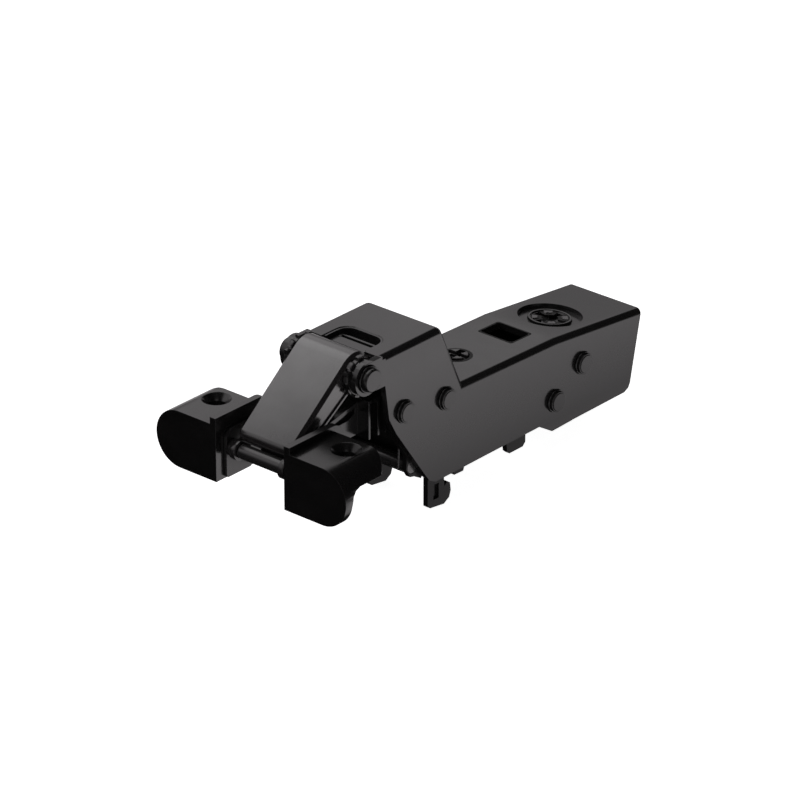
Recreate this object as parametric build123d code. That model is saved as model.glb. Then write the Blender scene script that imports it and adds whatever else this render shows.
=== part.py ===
from build123d import *
from math import acos, atan2, cos, degrees, hypot, pi, sin
import os

# Concealed hinge for a framed door, shown open.
# X runs along the arm from the door side to the rear, Y across, Z up. All sizes are in mm.
# The pieces are drawn from the middle of the main pivot's axis, and moved as they are written,
# so that the files' origin is the middle of the seat that rests on the mounting plate.

# Arm, one stamped and folded sheet
ARM_W = 16.8
SHEET = 1.2
FOLD_R = 1.1
CAP_TOP = 2.7
CAP_FRONT = 3.3
CAP_REAR = 18.9
STEP_X = 24.6
STEP_Z = -9.8
KINK_X = 49.5
KINK_Z = -10.5
ARM_END = 73.2
ARM_END_Z = -13.0
LUG_R = 3.1
FLOOR_FRONT_X = 17.4
FLOOR_FRONT_Z = -25.8
FLOOR_STEP_X = 50.3
FLOOR_REAR_X = 54.0
FLOOR_REAR_Z = -27.8

# Pivots, as X and Z
P1 = (0.0, 0.0)
P2 = (9.25, -9.4)
P3 = (19.95, -10.93)
P4 = (49.3, -22.2)
P5 = (56.7, -17.55)
PIN_A = (-16.8, -11.3)
PIN_B = (-12.3, -12.3)
STOP_AT = (12.9, -21.6)

# Pins and fits
MAIN_R = 1.35
LEVER_R = 1.2
RIVET_R = 1.2
FRONT_R = 0.9
REAR_R = 0.75
STOP_R = 1.3
FIT = 0.04
SNUG = 0.02
HEAD_R = 1.9
HEAD_H = 0.9
MAIN_HEAD_R = 2.05
MAIN_HEAD_H = 1.2

# Outer link
LINK_EDGE = 0.6
LINK_NOSE_R = 1.3
LINK_LIP = 2.2
LINK_T = 1.2
BEND_R = 3.9
EYE_R = 2.95
EAR_R = 1.8
EAR_T = 1.2
BAND_IN = 0.3
LINK_STOP = 2.85
FRONT_DEPTH = 2.3

# Inner lever
LEVER_ARM_W = 6.8
LEVER_FRONT = 3.0
LEVER_TOP = -6.2
LEVER_LOW = -13.3
LEVER_EYE_R = 1.4

# Door bracket, one casting with two D-shaped plates
PLATE_FRONT = -20.0
PLATE_T = 1.7
CHEEK_T = 1.3
CHEEK_REAR = -6.6
PLATE_LOW = -16.9
WING_TOP = -6.4
CHEEK_TOP = -5.15
WING_REAR = -8.6
WING_CORNER_R = 4.0
WING_T = 3.3
PLATE_OUT = 21.2
HOLE_X = -12.3
HOLE_Y = 14.5
HOLE_R = 1.6
SINK_R = 2.6
SINK_H = 1.2
LINER_REAR = -9.2
LINER_T = 0.6
LINER_GAP = 0.05

# Clip frame under the arm
CLIP_T = 1.0
CLIP_GAP = 0.08
WEB_TOP = -14.4
HOOK_FRONT = 16.8
HOOK_REAR = 22.9
HOOK_LOW = -31.9
SEAT_X = 30.0
SEAT_END = 47.0
SEAT_Z = WEB_TOP - CLIP_T

# Springs
SPRING_WIRE = 0.5

# Adjusters
DISC_X = 57.95
DISC_R = 3.9
DISC_RECESS_R = 5.8
DISC_DISH = 0.8
DISC_SINK = 0.3
WINDOW_X = 45.6
WINDOW_L = 5.2
WINDOW_W = 7.2
SCREW_X = 32.6
SCREW_R = 1.9
SCREW_WELL_R = 2.3
SCREW_SINK = 0.3

# Widths across the arm, stacked from its folded sheet inwards
SIDE_GAP = 0.08
WASHER_W = 1.04
WASHER_R = 2.6
LEVER_GAP = 0.22
BUSH_W = 0.86
HALF = ARM_W / 2
INNER = HALF - SHEET
CLIP_IN = INNER - CLIP_GAP - CLIP_T
LINK_W = 2 * (INNER - WASHER_W - 2 * SIDE_GAP)
LEVER_W = 2 * (CLIP_IN - LEVER_GAP)
CHEEK_IN = LINK_W / 2 + BUSH_W + LINER_T + LINER_GAP + 0.09
PAD_HALF = CLIP_IN - 0.52
NOTCH = HALF - 4.0
TILT = degrees(atan2(KINK_Z - ARM_END_Z, ARM_END - KINK_X))


def prism(points, y0, y1, radius=0.0, which=None):
    """Extrudes an outline given as X and Z between two Y places, corners rounded where asked."""
    face = make_face(Polyline(*[(x, z) for x, z in points], close=True))
    if radius > 0:
        corners = face.vertices()
        if which is not None:
            corners = [v for v in corners if which(v.X, v.Y)]
        face = fillet(corners, radius)
    return Pos(0, y1, 0) * extrude(Plane.XZ * face, y1 - y0)


def rod(at, r, y0, y1):
    """A cylinder along Y."""
    return Pos(at[0], (y0 + y1) / 2, at[1]) * (Rot(90, 0, 0) * Cylinder(r, y1 - y0))


def post(x, y, r, z0, z1):
    """A cylinder along Z."""
    return Pos(x, y, (z0 + z1) / 2) * Cylinder(r, z1 - z0)


def block(x0, x1, y0, y1, z0, z1):
    """A box between six places."""
    return Pos((x0 + x1) / 2, (y0 + y1) / 2, (z0 + z1) / 2) * Box(x1 - x0, y1 - y0, z1 - z0)


def top_z(x):
    """Height of the arm's rear top at a place along it."""
    if x < KINK_X:
        return STEP_Z + (KINK_Z - STEP_Z) * (x - STEP_X) / (KINK_X - STEP_X)
    return KINK_Z + (ARM_END_Z - KINK_Z) * (x - KINK_X) / (ARM_END - KINK_X)


def rivet(at, r, head_r=HEAD_R, head_h=HEAD_H):
    """A pin across the arm, with a flat round head at each end."""
    body = rod(at, r, -HALF, HALF)
    return body + rod(at, head_r, -HALF - head_h, -HALF) + rod(at, head_r, HALF, HALF + head_h)


def cross_recess(size, width, depth):
    """A cross recess whose top is at Z = 0, as a cutting body."""
    arm = Box(size, width, depth)
    return Pos(0, 0, -depth / 2) * (arm + Rot(0, 0, 90) * arm)


def arm_shell():
    side = [(CAP_FRONT, CAP_TOP), (CAP_REAR, CAP_TOP), (STEP_X, STEP_Z), (KINK_X, KINK_Z),
            (ARM_END, ARM_END_Z), (ARM_END - 2.8, FLOOR_REAR_Z + 1.4), (ARM_END - 3.3, FLOOR_REAR_Z + 0.5),
            (ARM_END - 4.4, FLOOR_REAR_Z), (FLOOR_REAR_X, FLOOR_REAR_Z), (FLOOR_STEP_X, FLOOR_FRONT_Z),
            (FLOOR_FRONT_X, FLOOR_FRONT_Z), (15.8, -25.0), (14.6, -23.4), (7.2, -12.9), (5.4, -9.6),
            (4.7, -5.0), (4.4, -3.0), (CAP_FRONT, -2.4)]

    def bend(x, z):
        return abs(x - CAP_REAR) < 0.1 and z > 0

    outer = prism(side, -HALF, HALF, 1.5, bend)
    crest = [e for e in outer.edges() if abs(abs(e.center().Y) - HALF) < 0.01 and e.center().X < ARM_END
             and e.center().Z > top_z(max(e.center().X, STEP_X)) - 0.02 and e.center().X > CAP_FRONT + 0.1
             and (e.center().X > STEP_X or e.center().Z > STEP_Z + 0.5)]
    crest = [e for e in crest if abs((e @ 0).Y - (e @ 1).Y) < 0.01 and not (e.center().X < CAP_REAR
             and e.center().Z < CAP_TOP - 0.2)]
    outer = fillet(crest, FOLD_R)
    cut_top = CAP_TOP - SHEET
    inside = [(CAP_FRONT - 6, cut_top), (CAP_REAR - 0.75, cut_top), (STEP_X - 1.0, STEP_Z - SHEET),
              (KINK_X, KINK_Z - SHEET), (ARM_END + 4, ARM_END_Z - SHEET - 0.4), (ARM_END + 4, -40),
              (CAP_FRONT - 6, -40)]
    shell = outer - prism(inside, -INNER, INNER)
    notch = block(CAP_FRONT - 1, CAP_FRONT + 5.9, -NOTCH, NOTCH, CAP_TOP - 2, CAP_TOP + 1)
    notch = fillet([e for e in notch.edges().filter_by(Axis.Z) if e.center().X > CAP_FRONT], 2.2)
    shell = shell - notch
    rim = [e for e in shell.edges() if abs(e.center().Z - CAP_TOP) < 0.01 and abs(e.center().Y) < NOTCH + 0.1
           and CAP_FRONT + 0.1 < e.center().X < CAP_FRONT + 6]
    shell = chamfer(rim, 0.45)
    shell = shell + block(CAP_FRONT + 3.0, CAP_FRONT + 4.6, -NOTCH - 0.4, NOTCH + 0.4, CAP_TOP - 2.3, CAP_TOP - 1.5)
    lip = block(CAP_FRONT + 0.6, CAP_FRONT + 6.7, -NOTCH - 0.8, NOTCH + 0.8, CAP_TOP - SHEET - 1.2, CAP_TOP - 0.15)
    lip = chamfer([e for e in lip.edges().filter_by(Axis.Z) if e.center().X > CAP_FRONT + 1], 1.8)
    shell = shell + (lip - notch - block(CAP_FRONT - 1, CAP_FRONT + 1.6, -NOTCH, NOTCH, -5, 5)
                     - Pos(0, 0, -1.5) * notch)
    for side_y in (-1, 1):
        low, high = min(side_y * INNER, side_y * HALF), max(side_y * INNER, side_y * HALF)
        lug = rod(P1, LUG_R, low, high) + block(0, CAP_FRONT + 1.2, low, high, -LUG_R + 0.2, CAP_TOP - 0.6)
        lug = lug + block(-0.4, CAP_FRONT + 0.4, low, high, 0.0, CAP_TOP)
        shell = shell + lug
    tilt = Pos(DISC_X, 0, top_z(DISC_X)) * Rot(0, TILT, 0)
    shell = shell - tilt * (Pos(0, 0, 0) * Cylinder(DISC_R + 0.08, 6))
    shell = shell - tilt * (Pos(0, 0, 2 - DISC_DISH) * Cylinder(DISC_RECESS_R, 4))
    window = block(WINDOW_X - WINDOW_L / 2, WINDOW_X + WINDOW_L / 2, -WINDOW_W / 2, WINDOW_W / 2, -14, -8)
    window = fillet(window.edges().filter_by(Axis.Z), 0.9)
    shell = shell - window
    top = top_z(SCREW_X)
    shell = shell + post(SCREW_X, 0, SCREW_R + 1.0, top - 2.6, top - 0.6)
    shell = shell - post(SCREW_X, 0, SCREW_R + FIT, top - 5, top + 2)
    shell = shell - post(SCREW_X, 0, SCREW_WELL_R, top - 0.8, top + 2)
    for at, r in ((P1, MAIN_R), (P2, LEVER_R), (P3, RIVET_R), (P4, RIVET_R), (P5, RIVET_R)):
        shell = shell - rod(at, r + SNUG, -HALF - 1, HALF + 1)
    return shell


def clip_frame():
    out = INNER - CLIP_GAP
    side = [(7.0, -11.6), (9.8, -16.8), (11.4, -19.2), (11.2, -21.7), (12.2, -23.4), (14.4, -23.9),
            (HOOK_FRONT, -25.2), (HOOK_FRONT, HOOK_LOW + 1.0), (HOOK_FRONT + 0.7, HOOK_LOW + 0.5),
            (HOOK_REAR - 1.8, HOOK_LOW), (HOOK_REAR - 0.4, HOOK_LOW + 0.8), (HOOK_REAR, HOOK_LOW + 2.0),
            (HOOK_REAR - 0.2, -28.4), (HOOK_REAR - 0.9, -27.9), (HOOK_REAR - 1.7, -28.5),
            (HOOK_REAR - 1.9, -25.4), (HOOK_REAR + 0.3, -25.4), (HOOK_REAR + 0.9, -27.4),
            (26.2, -27.5), (26.9, -25.4), (37.6, -25.4), (37.9, -28.3), (38.6, -28.9), (42.2, -28.9),
            (42.9, -28.2), (42.9, -25.4), (53.0, -25.4), (64.0, -23.6),
            (66.0, -17.5), (64.5, WEB_TOP), (24.4, WEB_TOP), (21.6, -9.2), (18.2, -9.2), (15.0, -14.4), (11.8, -11.0),
            (9.8, -7.3), (7.4, -7.6)]
    frame = None
    for s in (-1, 1):
        low, high = min(s * (out - CLIP_T), s * out), max(s * (out - CLIP_T), s * out)
        wall = prism(side, low, high)
        pocket = sorted((s * (out - 0.5), s * (out + 1)))
        wall = wall - block(HOOK_FRONT + 1.5, HOOK_FRONT + 2.9, pocket[0], pocket[1], HOOK_LOW + 1.8, HOOK_LOW + 4.6)
        frame = wall if frame is None else frame + wall
    frame = frame + block(24.4, SEAT_END, -out, out, WEB_TOP - CLIP_T, WEB_TOP)
    frame = frame + block(SEAT_END - 0.5, 64.5, -out, out, WEB_TOP - CLIP_T + 0.2, WEB_TOP)
    frame = frame - block(41.0, 50.0, -3.4, 3.4, WEB_TOP - 3, WEB_TOP + 3)
    frame = frame - block(DISC_X - 5.2, DISC_X + 3.6, -2.6, 2.6, WEB_TOP - 3, WEB_TOP + 3)
    for at in (P3, P4):
        frame = frame - rod(at, RIVET_R + SNUG, -HALF, HALF)
    frame = frame - rod(P2, LEVER_R + SNUG, -HALF, HALF)
    frame = frame - rod(P5, RIVET_R + SNUG, -HALF, HALF) - rod(STOP_AT, STOP_R + SNUG, -HALF, HALF)
    return frame


def stop_pin():
    return rod(STOP_AT, STOP_R, -INNER + 0.15, INNER - 0.15)


def outer_link():
    half = LINK_W / 2
    dx = PIN_A[0] - P1[0]
    dz = PIN_A[1] - P1[1]
    dist = hypot(dx, dz)
    aim = (atan2(dz, dx) - acos((BEND_R - FRONT_DEPTH) / dist)) % (2 * pi)
    ux, uz = cos(aim), sin(aim)
    tx, tz = -uz, ux
    if tx * dx + tz * dz < 0:
        tx, tz = uz, -ux

    def at(along, below):
        """A place in the side view, by its way along the web and its depth under the web's outer face."""
        return (P1[0] + along * tx + (BEND_R - below) * ux, P1[1] + along * tz + (BEND_R - below) * uz)

    long = (PIN_A[0] - P1[0]) * tx + (PIN_A[1] - P1[1]) * tz
    stop = long - LINK_STOP
    nose = stop + LINK_NOSE_R
    depth_rear = BEND_R + 1.2
    crest = (0.84, (0.84 + aim) / 2, aim)

    def shape(r, nose_r, corners):
        """The wrap round the main pivot, the web and the rounded front end at one depth, closed through corners."""
        start, mid, end = [(P1[0] + r * cos(t), P1[1] + r * sin(t)) for t in crest]
        depth = BEND_R - r
        bend = [at(stop, depth), at(stop + nose_r * sin(pi / 4), depth + nose_r * (1 - cos(pi / 4))),
                at(stop + nose_r, depth + nose_r)]
        return make_face([ThreePointArc(start, mid, end), Line(end, bend[0]), ThreePointArc(*bend),
                          Polyline(bend[2], *corners, start)])

    side = [at(nose, FRONT_DEPTH + 1.1), at(0, depth_rear)]
    link = extrude(Plane.XZ * shape(BEND_R, LINK_NOSE_R, side), half, both=True)
    middle = at(stop / 2, 0)
    folds = []
    for e in link.edges():
        spot = e @ 0.5
        if abs(abs(spot.Y) - half) < 0.01:
            rounded = e.geom_type == GeomType.CIRCLE
            if rounded or hypot(spot.X - middle[0], spot.Z - middle[1]) < 0.05:
                folds.append(e)
    link = chamfer(folds, LINK_EDGE)
    inside = [at(nose - LINK_T, LINK_LIP), at(long + 4, LINK_LIP), at(long + 4, 12), at(-4, 12)]
    link = link - extrude(Plane.XZ * shape(BEND_R - LINK_T, LINK_NOSE_R - LINK_T, inside), half - EAR_T, both=True)
    for s in (-1, 1):
        low, high = sorted((s * half, s * (half - EAR_T)))
        tongue = prism([at(stop - 1, 2.0), at(nose, 1.5), at(long, FRONT_DEPTH - EAR_R + 0.1),
                        at(long, FRONT_DEPTH + EAR_R - 0.1), at(stop - 1, FRONT_DEPTH + 1.0)], low, high)
        link = link + tongue + rod(P1, EYE_R, low, high) + rod(PIN_A, EAR_R, low, high)
        band = prism([at(3.4, 2.2), at(stop - 0.6, 2.2), at(stop - 0.6, 3.2), at(3.4, 4.4)],
                     min(s * (half - BAND_IN), s * (half + 1)), max(s * (half - BAND_IN), s * (half + 1)))
        link = link - band
    link = link - rod(P1, MAIN_R + FIT, -half - 1, half + 1)
    link = link - rod(PIN_A, FRONT_R + FIT, -half - 1, half + 1)
    return link


def pivot_washers():
    out = []
    inner = LINK_W / 2 + SIDE_GAP
    for s in (-1, 1):
        low, high = sorted((s * inner, s * (INNER - SIDE_GAP)))
        collar = rod(P1, WASHER_R, low, high) + block(-WASHER_R - 0.9, -1.9, low, high, 0.2, 1.8)
        out.append(collar - rod(P1, MAIN_R + SNUG, -HALF, HALF))
    return Compound(out)


def inner_lever():
    half = LEVER_W / 2
    arm = LEVER_ARM_W / 2
    wide = [(LEVER_FRONT, LEVER_TOP), (P2[0] - 1.0, LEVER_TOP), (P2[0] + 2.1, P2[1] + 1.9), (P2[0] + 2.6, P2[1] - 0.6),
            (P2[0] + 1.6, P2[1] - 2.6), (P2[0] - 1.6, LEVER_LOW), (LEVER_FRONT, LEVER_LOW)]
    lever = prism(wide, -half, half)
    bx, bz = PIN_B
    narrow = [(LEVER_FRONT + 1, LEVER_TOP - 0.8), (LEVER_FRONT - 2.4, LEVER_TOP - 1.2), (bx + 6.6, bz + 3.6),
              (bx + 4.4, bz + 1.5), (bx, bz + LEVER_EYE_R), (bx, bz - LEVER_EYE_R), (LEVER_FRONT - 3.0, LEVER_LOW + 0.2),
              (LEVER_FRONT + 1, LEVER_LOW + 0.4)]
    lever = lever + prism(narrow, -arm, arm) + rod(PIN_B, LEVER_EYE_R, -arm, arm)
    for s in (-1, 1):
        low, high = sorted((s * arm, s * (half + 1)))
        for x0, x1 in ((LEVER_FRONT + 0.5, LEVER_FRONT + 2.3), (LEVER_FRONT + 2.8, LEVER_FRONT + 4.2)):
            lever = lever - block(x0, x1, low, high, LEVER_LOW - 1, LEVER_TOP - 0.6)
        low, high = sorted((s * (arm - 0.7), s * (arm + 1)))
        lever = lever - prism([(LEVER_FRONT - 0.6, LEVER_TOP - 1.7), (LEVER_FRONT - 2.4, LEVER_TOP - 2.0),
                               (bx + 6.6, bz + 2.6), (LEVER_FRONT - 2.4, LEVER_TOP - 3.4),
                               (LEVER_FRONT - 0.6, LEVER_TOP - 2.6)], low, high)
    lever = lever - rod(P2, LEVER_R + FIT, -half - 1, half + 1)
    lever = lever - rod(PIN_B, REAR_R + SNUG, -half - 1, half + 1)
    return lever


def rear_pin():
    return rod(PIN_B, REAR_R, -LEVER_ARM_W / 2 - 0.5, LEVER_ARM_W / 2 + 0.5)


def door_bracket():
    back = PLATE_FRONT + PLATE_T
    r = (WING_TOP - PLATE_LOW) / 2
    mid = (WING_TOP + PLATE_LOW) / 2
    parts = []
    for s in (-1, 1):
        yc = s * (PLATE_OUT - r)
        y_in = s * CHEEK_IN
        plate = block(PLATE_FRONT, back, min(y_in, yc), max(y_in, yc), PLATE_LOW, WING_TOP)
        round_end = Pos(PLATE_FRONT + PLATE_T / 2, yc, mid) * (Rot(0, 90, 0) * Cylinder(r, PLATE_T))
        plate = plate + round_end
        cheek_out = s * (CHEEK_IN + CHEEK_T)
        cheek = block(PLATE_FRONT, CHEEK_REAR, min(y_in, cheek_out), max(y_in, cheek_out), PLATE_LOW, CHEEK_TOP)
        tail = [e for e in cheek.edges().filter_by(Axis.Y) if e.center().X > back]
        cheek = fillet(tail, 2.6)
        z0 = WING_TOP - WING_T
        wing = block(back - 0.3, WING_REAR, min(y_in, yc), max(y_in, yc), PLATE_LOW, WING_TOP)
        wing = wing + Pos((back - 0.3 + WING_REAR) / 2, yc, mid) * (Rot(0, 90, 0) * Cylinder(r, WING_REAR - back + 0.3))
        plan = block(back - 1, WING_REAR, min(y_in, s * PLATE_OUT), max(y_in, s * PLATE_OUT), z0, WING_TOP + 1)
        corner = [e for e in plan.edges().filter_by(Axis.Z) if e.center().X > back and abs(e.center().Y) > HOLE_Y]
        wing = wing & fillet(corner, WING_CORNER_R)
        web = prism([(back - 0.2, z0 + 0.1), (back + 2.6, z0 + 0.1), (back + 1.1, z0 - 0.35), (back + 0.35, z0 - 1.1),
                     (back, z0 - 2.6), (back - 0.2, z0 - 2.6)], min(y_in, s * PLATE_OUT), max(y_in, s * PLATE_OUT))
        round_web = Pos(back + 1, yc, mid) * (Rot(0, 90, 0) * Cylinder(r, 6))
        web = web & (round_web + block(back - 1, back + 4, min(y_in, yc), max(y_in, yc), PLATE_LOW, WING_TOP))
        tube = post(HOLE_X, s * HOLE_Y, HOLE_R + 1.1, z0 - 0.8, WING_TOP - 1)
        part = plate + cheek + wing + tube + web
        part = part - post(HOLE_X, s * HOLE_Y, HOLE_R, WING_TOP - 8, WING_TOP + 1)
        sink = Pos(HOLE_X, s * HOLE_Y, WING_TOP - SINK_H / 2) * Cone(HOLE_R, SINK_R, SINK_H)
        part = part - sink - rod(PIN_A, FRONT_R + SNUG, -30, 30)
        parts.append(part)
    bridge = block(LINER_REAR - 1.6, LINER_REAR, -CHEEK_IN - 0.5, CHEEK_IN + 0.5, PLATE_LOW, PLATE_LOW + 1.2)
    bracket = parts[0] + parts[1] + bridge
    return bracket


def liner(s):
    y_a, y_b = s * (CHEEK_IN - LINER_GAP), s * (CHEEK_IN - LINER_GAP - LINER_T)
    side = [(PIN_A[0] - 1.3, PLATE_LOW + 0.3), (PIN_A[0] - 1.3, PIN_A[1] + 2.4), (PIN_A[0] - 0.2, PIN_A[1] + 3.4),
            (LINER_REAR - 0.6, PIN_A[1] + 3.4), (LINER_REAR - 0.6, PLATE_LOW + 2.4), (LINER_REAR - 3.0, PLATE_LOW + 0.3)]
    plate = prism(side, min(y_a, y_b), max(y_a, y_b), 0.5)
    return plate - rod(PIN_A, FRONT_R + SNUG, -30, 30)


def front_pin():
    return rod(PIN_A, FRONT_R, -CHEEK_IN - CHEEK_T + 0.1, CHEEK_IN + CHEEK_T - 0.1)


def front_bushes():
    out = []
    for s in (-1, 1):
        a, b = s * (LINK_W / 2 + SIDE_GAP), s * (LINK_W / 2 + SIDE_GAP + BUSH_W - 0.05)
        out.append(rod(PIN_A, 1.5, min(a, b), max(a, b)) - rod(PIN_A, FRONT_R + SNUG, -HALF, HALF))
    return Compound(out)


def coil(at, wire, radius, turns, gap, leg):
    """A coil of square wire round an axis along Y, centred on the arm's middle, with two straight legs."""
    pitch = 2 * wire + gap
    steps = 12
    points = []
    for i in range(int(turns * steps) + 1):
        turn = 2 * pi * i / steps
        points.append((radius * cos(turn), radius * sin(turn), pitch * i / steps))
    if leg > 0:
        x, y, z = points[0]
        points.insert(0, (x, y - leg, z))
        x, y, z = points[-1]
        points.append((x - leg * sin(2 * pi * turns), y + leg * cos(2 * pi * turns), z))
    path = Polyline(*points)
    start = Plane(origin=path @ 0, z_dir=path % 0) * Rectangle(2 * wire, 2 * wire)
    spring = sweep(start, path, transition=Transition.RIGHT)
    return Pos(at[0], pitch * turns / 2, at[1]) * (Rot(90, 0, 0) * spring)


def closing_spring():
    return coil(P3, SPRING_WIRE, RIVET_R + SPRING_WIRE + 0.3, 4.5, 0.25, 4.6)


def spring_pad():
    """A bent plate between the clip walls, for the closing spring's lower leg."""
    foot = block(P2[0] + 3.4, P2[0] + 6.6, -PAD_HALF, PAD_HALF, P3[1] - 7.0, P3[1] - 5.4)
    return foot + block(P2[0] + 5.4, P2[0] + 6.6, -PAD_HALF, PAD_HALF, P3[1] - 5.6, P3[1] - 3.9)


def depth_disc():
    low = -SHEET - 0.2
    head = Pos(0, 0, (low - DISC_SINK) / 2) * Cylinder(DISC_R, -DISC_SINK - low)
    head = head - Pos(0, 0, -DISC_SINK) * Cylinder(DISC_R - 0.4, 0.5)
    head = head - Pos(0, 0, -DISC_SINK - 0.25) * cross_recess(2 * DISC_R - 1.6, 2.0, 0.7)
    flange = Pos(0, 0, -SHEET - 0.45) * Cylinder(DISC_R + 1.1, 0.7)
    stem = Pos(0, 0, -2.6) * Cylinder(2.2, 1.8)
    cam = Pos(-0.5, 0, -3.6) * Cylinder(1.5, 0.7)
    disc = head + flange + stem + cam
    return Pos(DISC_X, 0, top_z(DISC_X)) * Rot(0, TILT, 0) * disc


def side_screw():
    top = top_z(SCREW_X)
    screw = post(SCREW_X, 0, SCREW_R, WEB_TOP + 0.05, top - SCREW_SINK)
    return screw - Pos(SCREW_X, 0, top - SCREW_SINK) * cross_recess(2 * SCREW_R - 0.6, 0.8, 1.3)


def release_latch():
    out = CLIP_IN - 0.15
    side = [(P5[0] - 2.2, P5[1] + 1.4), (P5[0] + 2.0, P5[1] + 1.9), (70.2, -17.6), (71.6, -18.4), (70.4, -24.6), (68.4, -24.9),
            (68.0, -20.6), (60.0, -20.6), (57.4, -24.6), (57.2, -29.8), (51.7, -29.9), (47.9, -27.6), (47.9, -26.3),
            (51.9, -25.6), (52.8, -20.6)]
    latch = None
    for s in (-1, 1):
        low, high = min(s * (out - CLIP_T), s * out), max(s * (out - CLIP_T), s * out)
        wall = prism(side, low, high)
        latch = wall if latch is None else latch + wall
    latch = latch + block(68.2, 70.2, -out, out, -24.4, -18.2)
    latch = latch + block(60.2, 69.0, -out, out, -19.2, -18.2)
    return latch - rod(P5, RIVET_R + FIT, -HALF, HALF)


def latch_spring():
    wire = 0.3
    return coil(P5, wire, RIVET_R + wire + 0.2, 3.5, 0.3, 0)


def disc_washer():
    ring = Cylinder(DISC_R + 1.1, 0.24) - Cylinder(2.25, 1)
    return Pos(DISC_X, 0, top_z(DISC_X)) * Rot(0, TILT, 0) * (Pos(0, 0, -SHEET - 1.0) * ring)


NODES = {
    "arm_shell": arm_shell,
    "clip_frame": clip_frame,
    "main_pin": lambda: rivet(P1, MAIN_R, MAIN_HEAD_R, MAIN_HEAD_H),
    "lever_pin": lambda: rivet(P2, LEVER_R),
    "clip_rivets": lambda: Compound([rivet(P3, RIVET_R), rivet(P4, RIVET_R)]),
    "latch_pin": lambda: rivet(P5, RIVET_R),
    "stop_pin": stop_pin,
    "pivot_washers": pivot_washers,
    "outer_link": outer_link,
    "inner_lever": inner_lever,
    "rear_pin": rear_pin,
    "door_bracket": door_bracket,
    "cheek_liner_near": lambda: liner(-1),
    "cheek_liner_far": lambda: liner(1),
    "front_pin": front_pin,
    "front_bushes": front_bushes,
    "closing_spring": closing_spring,
    "spring_pad": spring_pad,
    "depth_disc": depth_disc,
    "disc_washer": disc_washer,
    "side_screw": side_screw,
    "release_latch": release_latch,
    "latch_spring": latch_spring,
}


os.makedirs("parts", exist_ok=True)
for name, make in NODES.items():
    shape = Pos(-SEAT_X, 0, -SEAT_Z) * make()
    export_step(shape, f"parts/{name}.step")
    box = shape.bounding_box()
    print(f"{name:18s} solids {len(shape.solids())} X {box.min.X:.1f} {box.max.X:.1f} "
          f"Y {box.min.Y:.1f} {box.max.Y:.1f} Z {box.min.Z:.1f} {box.max.Z:.1f} vol {shape.volume:.1f}")
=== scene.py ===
import bpy
import math
from mathutils import Matrix, Vector


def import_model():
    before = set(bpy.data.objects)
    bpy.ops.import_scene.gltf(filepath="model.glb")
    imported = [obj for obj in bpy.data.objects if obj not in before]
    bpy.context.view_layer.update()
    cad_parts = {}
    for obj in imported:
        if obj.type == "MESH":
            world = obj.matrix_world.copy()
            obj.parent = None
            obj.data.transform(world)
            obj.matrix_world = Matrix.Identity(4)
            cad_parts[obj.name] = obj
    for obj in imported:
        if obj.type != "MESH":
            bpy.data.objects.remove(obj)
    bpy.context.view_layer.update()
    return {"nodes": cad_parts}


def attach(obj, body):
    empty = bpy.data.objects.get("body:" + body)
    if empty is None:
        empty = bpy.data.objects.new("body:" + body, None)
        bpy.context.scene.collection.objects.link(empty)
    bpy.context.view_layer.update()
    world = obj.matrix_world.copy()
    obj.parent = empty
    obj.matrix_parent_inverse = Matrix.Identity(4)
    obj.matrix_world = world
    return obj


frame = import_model()
scene = bpy.context.scene
nodes = frame["nodes"]

# The main pivot's place in the row frame, in mm: every piece below is given in mm from the middle of its axis
PIVOT_X = -30.0
PIVOT_Z = 15.4

# The photograph's camera: its direction seen from the part, its distance, its lens and its aim, in metres
AZIMUTH = math.radians(-49.03)
ELEVATION = math.radians(26.08)
DISTANCE = 0.833
LENS = 225.0
SENSOR = 36.0
AIM_RIGHT = 0.01167
AIM_DOWN = 0.005917

# The studio's light, and the room's half width and the floor's height under the hooks, in metres
STUDIO_COLOUR = (1.0, 0.962, 0.978, 1.0)
WHITE = (1.0, 1.0, 1.0, 1.0)
ROOM = 3.0
FLOOR = -0.0166
FLOOR_COLOUR = (0.8, 0.8, 0.8, 1.0)
FLOOR_GLOW = 0.96

# Soft panels: two sides of the room, each with the cosines where the light starts and is full, and the level
PANELS = (
    (((0.0, 1.0, 0.0), 0.22, 0.5), ((0.0, 0.0, 1.0), -0.05, 0.55), 0.87),
    (((0.0, 0.0, -1.0), 0.12, 0.42), ((0.678, -0.589, -0.44), 0.8, 0.95), 1.38),
    (((0.0, -1.0, 0.0), 0.3, 0.5), ((-0.6, -0.68, -0.42), 0.9, 0.98), 1.0),
)

# Smaller dim lights round the room, which the main faces mirror when they are seen from other sides
GLOWS = (
    ((0.0, -1.0, -0.1), 0.9, 0.98, 0.45),
    ((0.0, 1.0, -0.1), 0.9, 0.98, 0.45),
    ((-1.0, 0.0, -0.1), 0.9, 0.98, 0.45),
    ((1.0, 0.0, -0.1), 0.9, 0.98, 0.45),
    ((0.0, 0.0, 1.0), 0.92, 0.99, 0.6),
    ((-0.65, -0.57, 0.5), 0.92, 0.99, 0.6),
    ((0.7, 0.7, -0.3), 0.9, 0.98, 0.6),
)

# Shading: folds sharper than this get a bevel, and flatter joints between facets are merged first
BEVEL_ANGLE = math.radians(38)
MERGE_ANGLE = math.radians(0.4)
WELD = 0.000002

# Axes across the arm, in X and Z: main pivot, lever pin, two clip rivets, latch pin and the front pin
P1 = (0.0, 0.0)
P2 = (9.25, -9.4)
P3 = (19.95, -10.93)
P4 = (49.3, -22.2)
P5 = (56.7, -17.55)
FRONT_PIN = (-16.8, -11.3)

# Half the arm's width, and where its middle and rear tops start, their height there and their fall along X
HALF = 8.4
MIDDLE_TOP = (24.6, -9.8, 0.0281)
REAR_TOP = (49.5, -10.5, 0.1055)


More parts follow.
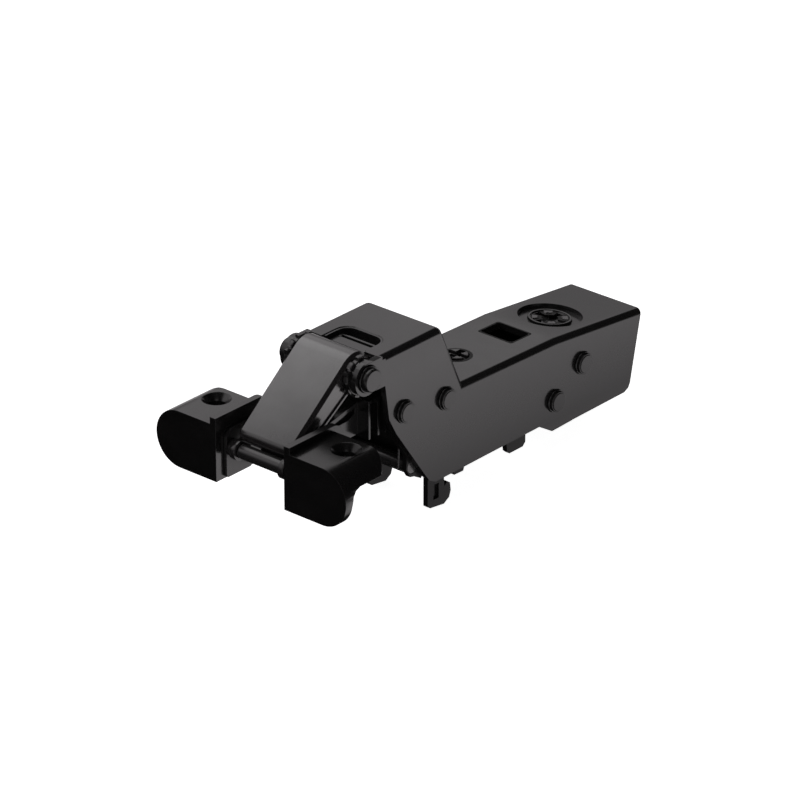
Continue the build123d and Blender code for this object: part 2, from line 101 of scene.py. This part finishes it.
def camera():
    """The photograph's viewpoint."""
    back = Vector((
        math.sin(AZIMUTH) * math.cos(ELEVATION),
        -math.cos(AZIMUTH) * math.cos(ELEVATION),
        math.sin(ELEVATION)))
    right = Vector((math.cos(AZIMUTH), math.sin(AZIMUTH), 0.0))
    up = back.cross(right)
    data = bpy.data.cameras.new("camera")
    data.sensor_width = SENSOR
    data.lens = LENS
    data.clip_start = 0.05
    data.clip_end = 20.0
    cam = bpy.data.objects.new("camera", data)
    scene.collection.objects.link(cam)
    place = at(0.0, 0.0, 0.0) + back * DISTANCE + right * AIM_RIGHT - up * AIM_DOWN
    cam.matrix_world = Matrix((
        (right.x, up.x, back.x, place.x),
        (right.y, up.y, back.y, place.y),
        (right.z, up.z, back.z, place.z),
        (0, 0, 0, 1)))
    scene.camera = cam


def lamp(name, direction, distance, size, power, target):
    """A square lamp that faces its target from one direction."""
    data = bpy.data.lights.new(name, "AREA")
    data.shape = "RECTANGLE"
    data.size = size
    data.size_y = size
    data.energy = power
    lit = bpy.data.objects.new(name, data)
    scene.collection.objects.link(lit)
    way = Vector(direction).normalized()
    lit.location = Vector(target) + way * distance
    lit.rotation_euler = (-way).to_track_quat("-Z", "Y").to_euler()


def along(tree, source, way):
    """How far a vector reaches along a direction."""
    dot = tree.nodes.new("ShaderNodeVectorMath")
    dot.operation = "DOT_PRODUCT"
    dot.inputs[1].default_value = way
    tree.links.new(source, dot.inputs[0])
    return dot.outputs["Value"]


def ranged(tree, source, start, end, low, high, interpolation="LINEAR"):
    """A value carried from one range to another."""
    node = tree.nodes.new("ShaderNodeMapRange")
    node.interpolation_type = interpolation
    node.inputs["From Min"].default_value = start
    node.inputs["From Max"].default_value = end
    node.inputs["To Min"].default_value = low
    node.inputs["To Max"].default_value = high
    tree.links.new(source, node.inputs["Value"])
    return node.outputs["Result"]


def reckoned(tree, operation, first, second):
    """Two values added or multiplied."""
    node = tree.nodes.new("ShaderNodeMath")
    node.operation = operation
    tree.links.new(first, node.inputs[0])
    tree.links.new(second, node.inputs[1])
    return node.outputs["Value"]


def world():
    """A studio of soft panels, which glossy faces mirror by direction, while the camera sees plain white."""
    sky = bpy.data.worlds.new("studio")
    scene.world = sky
    sky.use_nodes = True
    tree = sky.node_tree
    tree.nodes.clear()
    outward = tree.nodes.new("ShaderNodeTexCoord").outputs["Generated"]

    def side(toward, outer, inner, level=1.0):
        """Light from one side of the room, soft between two cosines."""
        reach = along(tree, outward, Vector(toward).normalized())
        return ranged(tree, reach, outer, inner, 0.0, level, "SMOOTHSTEP")

    lights = []
    for first, second, level in PANELS:
        lights.append(reckoned(tree, "MULTIPLY", side(*first, level), side(*second)))
    for glow in GLOWS:
        lights.append(side(*glow))
    total = lights[0]
    for light in lights[1:]:
        total = reckoned(tree, "ADD", total, light)
    dim = tree.nodes.new("ShaderNodeBackground")
    dim.inputs["Color"].default_value = STUDIO_COLOUR
    tree.links.new(total, dim.inputs["Strength"])
    white = tree.nodes.new("ShaderNodeBackground")
    white.inputs["Color"].default_value = WHITE
    white.inputs["Strength"].default_value = 1.0
    path = tree.nodes.new("ShaderNodeLightPath")
    mix = tree.nodes.new("ShaderNodeMixShader")
    out = tree.nodes.new("ShaderNodeOutputWorld")
    tree.links.new(path.outputs["Is Camera Ray"], mix.inputs["Fac"])
    tree.links.new(dim.outputs["Background"], mix.inputs[1])
    tree.links.new(white.outputs["Background"], mix.inputs[2])
    tree.links.new(mix.outputs["Shader"], out.inputs["Surface"])


def floor():
    """A pale floor, white to the camera apart from the part's soft shadow, and clear from below."""
    mesh = bpy.data.meshes.new("floor")
    corners = [(-ROOM, -ROOM, FLOOR), (ROOM, -ROOM, FLOOR), (ROOM, ROOM, FLOOR), (-ROOM, ROOM, FLOOR)]
    mesh.from_pydata(corners, [], [(0, 1, 2, 3)])
    obj = bpy.data.objects.new("floor", mesh)
    scene.collection.objects.link(obj)
    obj.visible_glossy = False
    obj.visible_diffuse = False
    obj.visible_shadow = False
    mat = bpy.data.materials.new("pale_floor")
    mat.use_nodes = True
    tree = mat.node_tree
    tree.nodes.clear()
    geometry = tree.nodes.new("ShaderNodeNewGeometry")
    matt = tree.nodes.new("ShaderNodeBsdfDiffuse")
    matt.inputs["Color"].default_value = FLOOR_COLOUR
    glow = tree.nodes.new("ShaderNodeEmission")
    glow.inputs["Strength"].default_value = FLOOR_GLOW
    both = tree.nodes.new("ShaderNodeAddShader")
    clear = tree.nodes.new("ShaderNodeBsdfTransparent")
    mix = tree.nodes.new("ShaderNodeMixShader")
    out = tree.nodes.new("ShaderNodeOutputMaterial")
    tree.links.new(matt.outputs["BSDF"], both.inputs[0])
    tree.links.new(glow.outputs["Emission"], both.inputs[1])
    tree.links.new(geometry.outputs["Backfacing"], mix.inputs["Fac"])
    tree.links.new(both.outputs["Shader"], mix.inputs[1])
    tree.links.new(clear.outputs["BSDF"], mix.inputs[2])
    tree.links.new(mix.outputs["Shader"], out.inputs["Surface"])
    mesh.materials.append(mat)


def noise(tree, source, scale, detail):
    """Mottling of one grain."""
    node = tree.nodes.new("ShaderNodeTexNoise")
    node.inputs["Scale"].default_value = scale
    node.inputs["Detail"].default_value = detail
    tree.links.new(source, node.inputs["Vector"])
    return node.outputs["Fac"]


def coated(name, dark, light, rough, grain, depth, metal=0.0, tint=(1.0, 0.98, 0.985), level=0.5,
           painted_shading=None, streak=None):
    """A coated metal: fine mottled colour, uneven gloss and a soft orange-peel bump.

    painted_shading is painted shade: a direction, the places along it, in metres, where the gloss level
    starts and stops to change, and its level at both, the weaker gloss at one end standing in for less light.
    streak draws the grain out.
    """
    mat = bpy.data.materials.new(name)
    mat.use_nodes = True
    tree = mat.node_tree
    bsdf = tree.nodes["Principled BSDF"]
    place = tree.nodes.new("ShaderNodeTexCoord").outputs["Object"]
    mapping = tree.nodes.new("ShaderNodeMapping")
    tree.links.new(place, mapping.inputs["Vector"])
    if streak:
        mapping.inputs["Scale"].default_value = streak
    fine = noise(tree, mapping.outputs["Vector"], grain, 5.0)
    broad = noise(tree, place, grain * 0.06, 3.0)
    both = tree.nodes.new("ShaderNodeMix")
    both.inputs["Factor"].default_value = 0.45
    tree.links.new(fine, both.inputs["A"])
    tree.links.new(broad, both.inputs["B"])
    ramp = tree.nodes.new("ShaderNodeValToRGB")
    for stop, position, shade in zip(ramp.color_ramp.elements, (0.3, 0.7), (dark, light)):
        stop.position = position
        stop.color = tuple(shade * t for t in tint) + (1.0,)
    tree.links.new(both.outputs["Result"], ramp.inputs["Fac"])
    tree.links.new(ramp.outputs["Color"], bsdf.inputs["Base Color"])
    gloss = ranged(tree, both.outputs["Result"], 0.3, 0.7, rough - 0.06, rough + 0.06)
    tree.links.new(gloss, bsdf.inputs["Roughness"])
    bump = tree.nodes.new("ShaderNodeBump")
    bump.inputs["Strength"].default_value = 0.5
    bump.inputs["Distance"].default_value = depth
    tree.links.new(fine, bump.inputs["Height"])
    tree.links.new(bump.outputs["Normal"], bsdf.inputs["Normal"])
    bsdf.inputs["Metallic"].default_value = metal
    bsdf.inputs["Specular IOR Level"].default_value = level
    # Painted shade: the gloss level follows the place along one direction, lower at one end so those faces
    # render darker
    if painted_shading:
        way, start, end, low, high = painted_shading
        tone = ranged(tree, along(tree, place, way), start, end, low, high)
        tree.links.new(tone, bsdf.inputs["Specular IOR Level"])
    return mat


def soften(obj, width):
    """A narrow bevel on an object's folds, so that they catch the light."""
    edge = obj.modifiers.new("edge", "BEVEL")
    edge.width = width
    edge.segments = 2
    edge.limit_method = "ANGLE"
    edge.angle_limit = BEVEL_ANGLE
    edge.use_clamp_overlap = True


def paint(names, mat, bevel=0.00012):
    """Gives CAD nodes their material and a small bevel."""
    for name in names:
        obj = nodes[name]
        obj.data.materials.clear()
        obj.data.materials.append(mat)
        weld = obj.modifiers.new("weld", "WELD")
        weld.merge_threshold = WELD
        merge = obj.modifiers.new("merge", "DECIMATE")
        merge.decimate_type = "DISSOLVE"
        merge.angle_limit = MERGE_ANGLE
        if bevel:
            soften(obj, bevel)
        for face in obj.data.polygons:
            face.use_smooth = True
        flat = obj.modifiers.new("shade", "WEIGHTED_NORMAL")
        flat.keep_sharp = False
        flat.weight = 60


def at(x, y, z):
    """A point given in mm from the middle of the main pivot's axis, in metres in the row frame."""
    return Vector(((x + PIVOT_X) / 1000, y / 1000, (z + PIVOT_Z) / 1000))


def piece(name, form, mat, body, bevel=0.00006, smooth=True):
    """A form's points and faces, in mm from the main pivot, made into an object that rides on a body."""
    verts, faces = form
    mesh = bpy.data.meshes.new(name)
    mesh.from_pydata([at(*v) for v in verts], [], faces)
    mesh.validate()
    obj = bpy.data.objects.new(name, mesh)
    scene.collection.objects.link(obj)
    mesh.materials.append(mat)
    for face in mesh.polygons:
        face.use_smooth = smooth
    if bevel:
        soften(obj, bevel)
    obj.modifiers.new("shade", "WEIGHTED_NORMAL").keep_sharp = False
    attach(obj, body)


def turned(centre, profile, steps=64, a0=0.0, a1=360.0):
    """A closed profile (radius, place along Y) turned round an axis along Y, wholly or in part."""
    verts = []
    faces = []
    n = len(profile)
    full = abs(a1 - a0) > 359.9
    rows = steps if full else steps + 1
    for i in range(rows):
        t = math.radians(a0 + (a1 - a0) * i / steps)
        verts += [(centre[0] + r * math.cos(t), y, centre[1] + r * math.sin(t)) for r, y in profile]
    for i in range(steps):
        j = (i + 1) % rows
        for k in range(n):
            m = (k + 1) % n
            faces.append((i * n + k, i * n + m, j * n + m, j * n + k))
    if not full:
        faces.append(tuple(range(n)))
        faces.append(tuple(reversed(range((rows - 1) * n, rows * n))))
    return verts, faces


def button(centre, profile, steps=48):
    """A closed round step along Y: a profile from its base out to its flat top."""
    verts = []
    for r, y in profile:
        for i in range(steps):
            t = 2 * math.pi * i / steps
            verts.append((centre[0] + r * math.cos(t), y, centre[1] + r * math.sin(t)))
    faces = [tuple(range(steps)), tuple(reversed(range(len(verts) - steps, len(verts))))]
    for k in range(len(profile) - 1):
        for i in range(steps):
            j = (i + 1) % steps
            faces.append((k * steps + j, k * steps + i, (k + 1) * steps + i, (k + 1) * steps + j))
    if profile[-1][1] < profile[0][1]:
        faces = [tuple(reversed(face)) for face in faces]
    return verts, faces


def join(*forms):
    """Several forms' points and faces as one."""
    verts = []
    faces = []
    for points, sides in forms:
        base = len(verts)
        verts.extend(points)
        faces.extend(tuple(i + base for i in side) for side in sides)
    return verts, faces


def prism(n):
    """The faces between two outlines of n points each, and their two ends."""
    return [tuple(reversed(range(n))), tuple(range(n, 2 * n))] + [
        (i, (i + 1) % n, (i + 1) % n + n, i + n) for i in range(n)]


def slab(outline, y0, y1):
    """An outline in X and Z, between two places across the arm."""
    verts = [(x, y0, z) for x, z in outline] + [(x, y1, z) for x, z in outline]
    return verts, [tuple(reversed(face)) for face in prism(len(outline))]


def plate(outline, z0, z1, inset=0.0, slope=0.0, start=0.0):
    """An outline in X and Y between two heights, its top drawn in by inset, falling along X from start."""
    n = len(outline)
    cx = sum(x for x, y in outline) / n
    cy = sum(y for x, y in outline) / n
    top = []
    for x, y in outline:
        far = math.hypot(x - cx, y - cy)
        k = 1.0 - inset / far if far > inset else 0.0
        top.append((cx + (x - cx) * k, cy + (y - cy) * k))
    verts = [(x, y, z0 - slope * (x - start)) for x, y in outline]
    verts += [(x, y, z1 - slope * (x - start)) for x, y in top]
    return verts, prism(n)


def oblong(x0, x1, y0, y1):
    """A rectangle's outline in X and Y."""
    return [(x0, y0), (x1, y0), (x1, y1), (x0, y1)]


def rounded(cx, cy, lx, ly, r, n=6):
    """A rounded rectangle's outline in X and Y."""
    points = []
    for sx, sy, a0 in ((1, 1, 0), (-1, 1, 90), (-1, -1, 180), (1, -1, 270)):
        for i in range(n + 1):
            t = math.radians(a0 + 90.0 * i / n)
            x = cx + sx * (lx / 2 - r) + r * math.cos(t)
            y = cy + sy * (ly / 2 - r) + r * math.sin(t)
            points.append((x, y))
    return points


def sector(centre, r0, r1, a0, a1, steps=10):
    """The outline of part of a ring in X and Y."""
    angles = [math.radians(a0 + (a1 - a0) * i / steps) for i in range(steps + 1)]
    outer = [(centre[0] + r1 * math.cos(t), centre[1] + r1 * math.sin(t)) for t in angles]
    inner = [(centre[0] + r0 * math.cos(t), centre[1] + r0 * math.sin(t)) for t in reversed(angles)]
    return outer + inner


def bar(a, b, half):
    """A thin square bar between two points."""
    a, b = Vector(a), Vector(b)
    way = (b - a).normalized()
    u = way.cross(Vector((0.0, 1.0, 0.0))).normalized() * half
    v = way.cross(u).normalized() * half
    verts = [tuple(p + q) for p in (a, b) for q in (u + v, u - v, -u - v, v - u)]
    return verts, prism(4)


def height(top, x):
    """The height of one of the arm's sloping tops at a place along X."""
    start, z, slope = top
    return z - slope * (x - start)


def rivets():
    """The stepped middle of each rivet's head, and the rim at its foot, in the lighter rim coat as a painted
    highlight.
    """
    head, middle_rise, middle_r, middle_top_r = 0.9, 0.15, 1.66, 1.53
    foot_r, rim_r, rim_rise, rim_top = 1.91, 2.06, 0.3, 0.42
    steps = []
    rims = []
    for centre in (P2, P3, P4, P5):
        for side in (-1, 1):
            base, shoulder, top = (side * (HALF + out) for out in (head, head + 0.02, head + middle_rise))
            steps.append(button(centre, [(middle_r, base), (middle_r, shoulder), (middle_top_r, top)]))
            base, shoulder, top = (side * (HALF + out) for out in (0.01, rim_rise, rim_top))
            ring = [(foot_r, base), (rim_r, base), (rim_r, shoulder), (foot_r, top)]
            rims.append(turned(centre, ring[::side]))
    pin_head = -HALF - 1.2
    steps.append(button(P1, [(2.0, pin_head), (2.0, pin_head - 0.06), (1.74, pin_head - 0.18)]))
    piece("rivet_steps", join(*steps), RIVET, "arm", bevel=0.0)
    piece("rivet_rims", join(*rims), RIM, "arm", bevel=0.0, smooth=False)


def main_collar():
    """The collar round the main pin's near head."""
    inner, outer, crest = 2.06, 2.4, 2.32
    base, shoulder, top = -HALF - 0.01, -HALF - 0.3, -HALF - 0.4
    ring = [(inner, base), (outer, base), (outer, shoulder), (crest, top), (inner, top)]
    piece("main_collar", turned(P1, ring), RIVET, "arm", bevel=0.0)


def rivet_painted_shadows():
    """Black rings painted round the near heads as their shadow, and painted shade laid over the near lug's
    fold.
    """
    width, low, high = 0.08, -HALF - 0.005, -HALF - 0.03
    seats = []
    for centre, r in ((P1, 2.4), (P2, 2.06), (P3, 2.06), (P4, 2.06), (P5, 2.06)):
        seats.append(turned(centre, [(r, low), (r + width, low), (r + width, high), (r, high)]))
    seats.append(plate(oblong(-0.4, 3.35, -8.42, -7.3), 2.7, 2.74))
    piece("rivet_painted_shadows", join(*seats), DARK, "arm", bevel=0.0)


def cap_plate():
    """The pressed plate seen through the cap's opening, with a long slot at its rear."""
    strips = ((3.9, 6.5, -4.1, 4.1), (7.2, 7.7, -3.9, 3.9), (6.5, 7.2, -4.1, -3.4), (6.5, 7.2, 3.4, 4.1))
    forms = [plate(oblong(*strip), 1.25, 1.85) for strip in strips]
    piece("cap_plate", join(*forms), SHEET, "arm", bevel=0.00008)


def disc_detail():
    """The depth disc's cross floor, black as painted shade in the recess, and the four sloped driving lobes
    in the painted-highlight rim coat.
    """
    middle = (57.95, 0.0)
    slope = REAR_TOP[2]
    top = height(REAR_TOP, middle[0])
    floor_z, lobe_z = top - 0.53, top - 0.36
    floors = []
    lobes = []
    for a in (45, 135, 225, 315):
        floors.append(plate(sector(middle, 1.5, 3.42, a - 30, a + 30), floor_z - 0.03, floor_z,
                            0.0, slope, middle[0]))
        lobes.append(plate(sector(middle, 2.1, 3.35, a - 17, a + 17, 6), floor_z, lobe_z,
                           0.22, slope, middle[0]))
    piece("disc_floor", join(*floors), DARK, "depth_adjuster", bevel=0.0)
    piece("disc_lobes", join(*lobes), RIM, "depth_adjuster", bevel=0.00005)


def screw_detail():
    """The side screw's wide-slotted head, and a black ring painted round it as the shade of the gap."""
    middle = (32.6, 0.0)
    slope = MIDDLE_TOP[2]
    top = height(MIDDLE_TOP, middle[0])
    head_r, slot_half = 2.15, 0.5
    arc = [math.radians(a) for a in (14, 26, 38, 52, 64, 76)]
    quarter = [(slot_half, slot_half)] + [(head_r * math.cos(t), head_r * math.sin(t)) for t in arc]
    head = []
    for turn in range(4):
        c, s = math.cos(math.radians(90 * turn)), math.sin(math.radians(90 * turn))
        outline = [(middle[0] + x * c - y * s, x * s + y * c) for x, y in quarter]
        head.append(plate(outline, top - 0.28, top + 0.3, 0.16, slope, middle[0]))
    piece("screw_head", join(*head), SHEET, "side_adjuster", bevel=0.00005)
    # Painted shade: a flat black ring laid on the arm round the head
    gap = sector(middle, 2.32, 2.85, 0, 359.99, 60)
    piece("screw_painted_shadow", plate(gap, top + 0.005, top + 0.03, 0.0, slope, middle[0]), DARK, "arm", bevel=0.0)


def window_painted_shade():
    """A black margin painted round the adjusting window as the shade on its rim."""
    outer = rounded(45.6, 0.05, 5.75, 7.75, 0.5)
    inner = rounded(45.6, 0.0, 5.14, 7.14, 0.86)
    n = len(outer)
    verts = []
    for rise in (0.005, 0.025):
        for ring in (outer, inner):
            verts += [(x, y, height(MIDDLE_TOP, x) + rise) for x, y in ring]
    faces = []
    for i in range(n):
        j = (i + 1) % n
        faces.append((2 * n + i, 2 * n + j, 3 * n + j, 3 * n + i))
        faces.append((i, n + i, n + j, j))
        faces.append((i, j, 2 * n + j, 2 * n + i))
        faces.append((n + j, n + i, 3 * n + i, 3 * n + j))
    piece("window_painted_shade", (verts, faces), DARK, "arm", bevel=0.0)


def clip_edges():
    """Narrow ribs on the near wall of the clip frame's front, whose edges catch the light, helped by the
    painted highlight of the rim coat.
    """
    wall = -6.05
    ribs = (
        ((10.63, -17.3), (10.4, -21.3), 0.12),
        ((12.5, -20.3), (12.4, -22.7), 0.14),
        ((10.9, -17.6), (12.5, -20.1), 0.07),
    )
    forms = [bar((x0, wall, z0), (x1, wall, z1), half) for (x0, z0), (x1, z1), half in ribs]
    piece("clip_edges", join(*forms), RIM, "arm", bevel=0.0)


def pin_sleeve():
    """The spacer tube on the front pin, between the link's ears."""
    bore, end_r, outer, half, shoulder = 0.92, 1.15, 1.3, 4.7, 4.55
    tube = [(bore, -half), (end_r, -half), (outer, -shoulder), (outer, shoulder), (end_r, half), (bore, half)]
    piece("pin_sleeve", turned(FRONT_PIN, tube), STEEL, "bracket", bevel=0.0)


def castle_rings():
    """The toothed rings beside the arm's lugs, on the main pin."""
    bore, core_r, root, tip = 2.62, 3.25, 3.2, 3.65
    teeth, tooth_angle = 9, 22.0
    forms = []
    for side in (-1, 1):
        a, b = side * 6.15, side * 7.05
        core = [(bore, a), (core_r, a), (core_r, b), (bore, b)]
        tooth = [(root, a), (tip, a), (tip, b), (root, b)]
        forms.append(turned(P1, core[::side]))
        for i in range(teeth):
            turn = 360.0 / teeth * i
            forms.append(turned(P1, tooth[::side], 6, turn, turn + tooth_angle))
    piece("castle_rings", join(*forms), STEEL, "arm", bevel=0.00004)


def front_web():
    """A bent cross plate behind the stop pin, between the clip walls."""
    half = 6.05
    bent = [(14.55, -18.3), (15.1, -18.3), (15.1, -24.2), (16.6, -25.1), (16.3, -25.5), (14.55, -24.5)]
    rib = [(14.2, -18.6), (14.56, -18.6), (14.56, -24.2), (14.2, -24.2)]
    forms = [slab(bent, -half, half)] + [slab(rib, y, y + 0.5) for y in (-5.2, -3.0)]
    piece("front_web", join(*forms), DARK, "arm")


camera()
world()
floor()
lamp("top", (0.0, 0.35, 1.0), 0.6, 0.5, 0.6, (0.0, 0.0, 0.003))
lamp("sheen", (0.70, 0.589, 0.40), 0.22, 0.04, 0.0006, (0.013, 0.0, 0.0052))

# The arm's lower edge and the cap's top, in metres in the row frame: the sheet's gloss grows between them,
# painted shading that darkens the lower faces
LOW = -0.0104
HIGH = 0.0134
UPWARD = (0.0, 0.0, 1.0)
ACROSS = (0.0, 1.0, 0.0)
LINK_WAY = (0.0, 0.5, 1.0)

# Painted shading: the gloss is lowered towards the bottom on the sheet and rivets, towards the near side (-Y)
# on the cast parts, and towards the lower near end on the link
SHEET = coated("black_sheet", 0.014, 0.02, 0.18, 5200.0, 0.000002, painted_shading=(UPWARD, LOW, HIGH, 0.18, 0.53))
CAST = coated("black_cast", 0.008, 0.014, 0.2, 3800.0, 0.000003, painted_shading=(ACROSS, -0.018, 0.018, 0.34, 0.68))
LINK = coated("dark_link", 0.02, 0.03, 0.2, 5200.0, 0.000002, tint=(1.0, 0.93, 0.95),
              painted_shading=(LINK_WAY, 0.001, 0.0223, 0.45, 1.5))
RIVET = coated("black_rivet", 0.014, 0.02, 0.18, 4200.0, 0.000002, painted_shading=(UPWARD, LOW, HIGH, 0.14, 0.5))
STEEL = coated("dark_steel", 0.05, 0.08, 0.2, 3000.0, 0.000004, metal=0.6, streak=(1.0, 6.0, 1.0))
SPRING = coated("spring_wire", 0.06, 0.09, 0.25, 3000.0, 0.000004, metal=0.7)
# Painted highlight: a lighter, glossier copy of the black coat on the rivet rims, the disc's lobes and the
# clip ribs, so that they shine
RIM = coated("rim_painted_highlight", 0.02, 0.03, 0.2, 4200.0, 0.000002, level=0.8)
# Near-black, almost glossless coat: painted shade on the rivet seats, the near lug's fold, the ring round the
# side screw, the window's margin and the disc's cross floor; also on the front web and the spring pad
DARK = coated("black_and_painted_shade", 0.006, 0.010, 0.5, 2600.0, 0.000004, level=0.15)
# Painted shade: the clip frame gets a darker copy of the black sheet with almost no gloss, so that it renders
# black as if in shadow
CLIP = coated("clip_sheet_painted_shade", 0.010, 0.016, 0.22, 5200.0, 0.000002, level=0.07)
LINER = coated("black_liner", 0.012, 0.018, 0.3, 2600.0, 0.000006)

paint(["arm_shell", "pivot_washers", "disc_washer", "release_latch"], SHEET)
paint(["clip_frame"], CLIP)
paint(["inner_lever", "door_bracket", "depth_disc"], CAST, 0.00015)
paint(["outer_link"], LINK, 0.0003)
paint(["main_pin", "lever_pin", "clip_rivets", "latch_pin"], RIVET, 0.00013)
paint(["stop_pin", "rear_pin", "front_pin", "side_screw"], STEEL, 0.00006)
paint(["closing_spring", "latch_spring"], SPRING, 0.0)
paint(["cheek_liner_near", "cheek_liner_far", "front_bushes"], LINER, 0.00006)
paint(["spring_pad"], DARK, 0.00006)

rivets()
main_collar()
rivet_painted_shadows()
cap_plate()
disc_detail()
screw_detail()
window_painted_shade()
clip_edges()
pin_sleeve()
castle_rings()
front_web()

scene.view_settings.view_transform = "Standard"
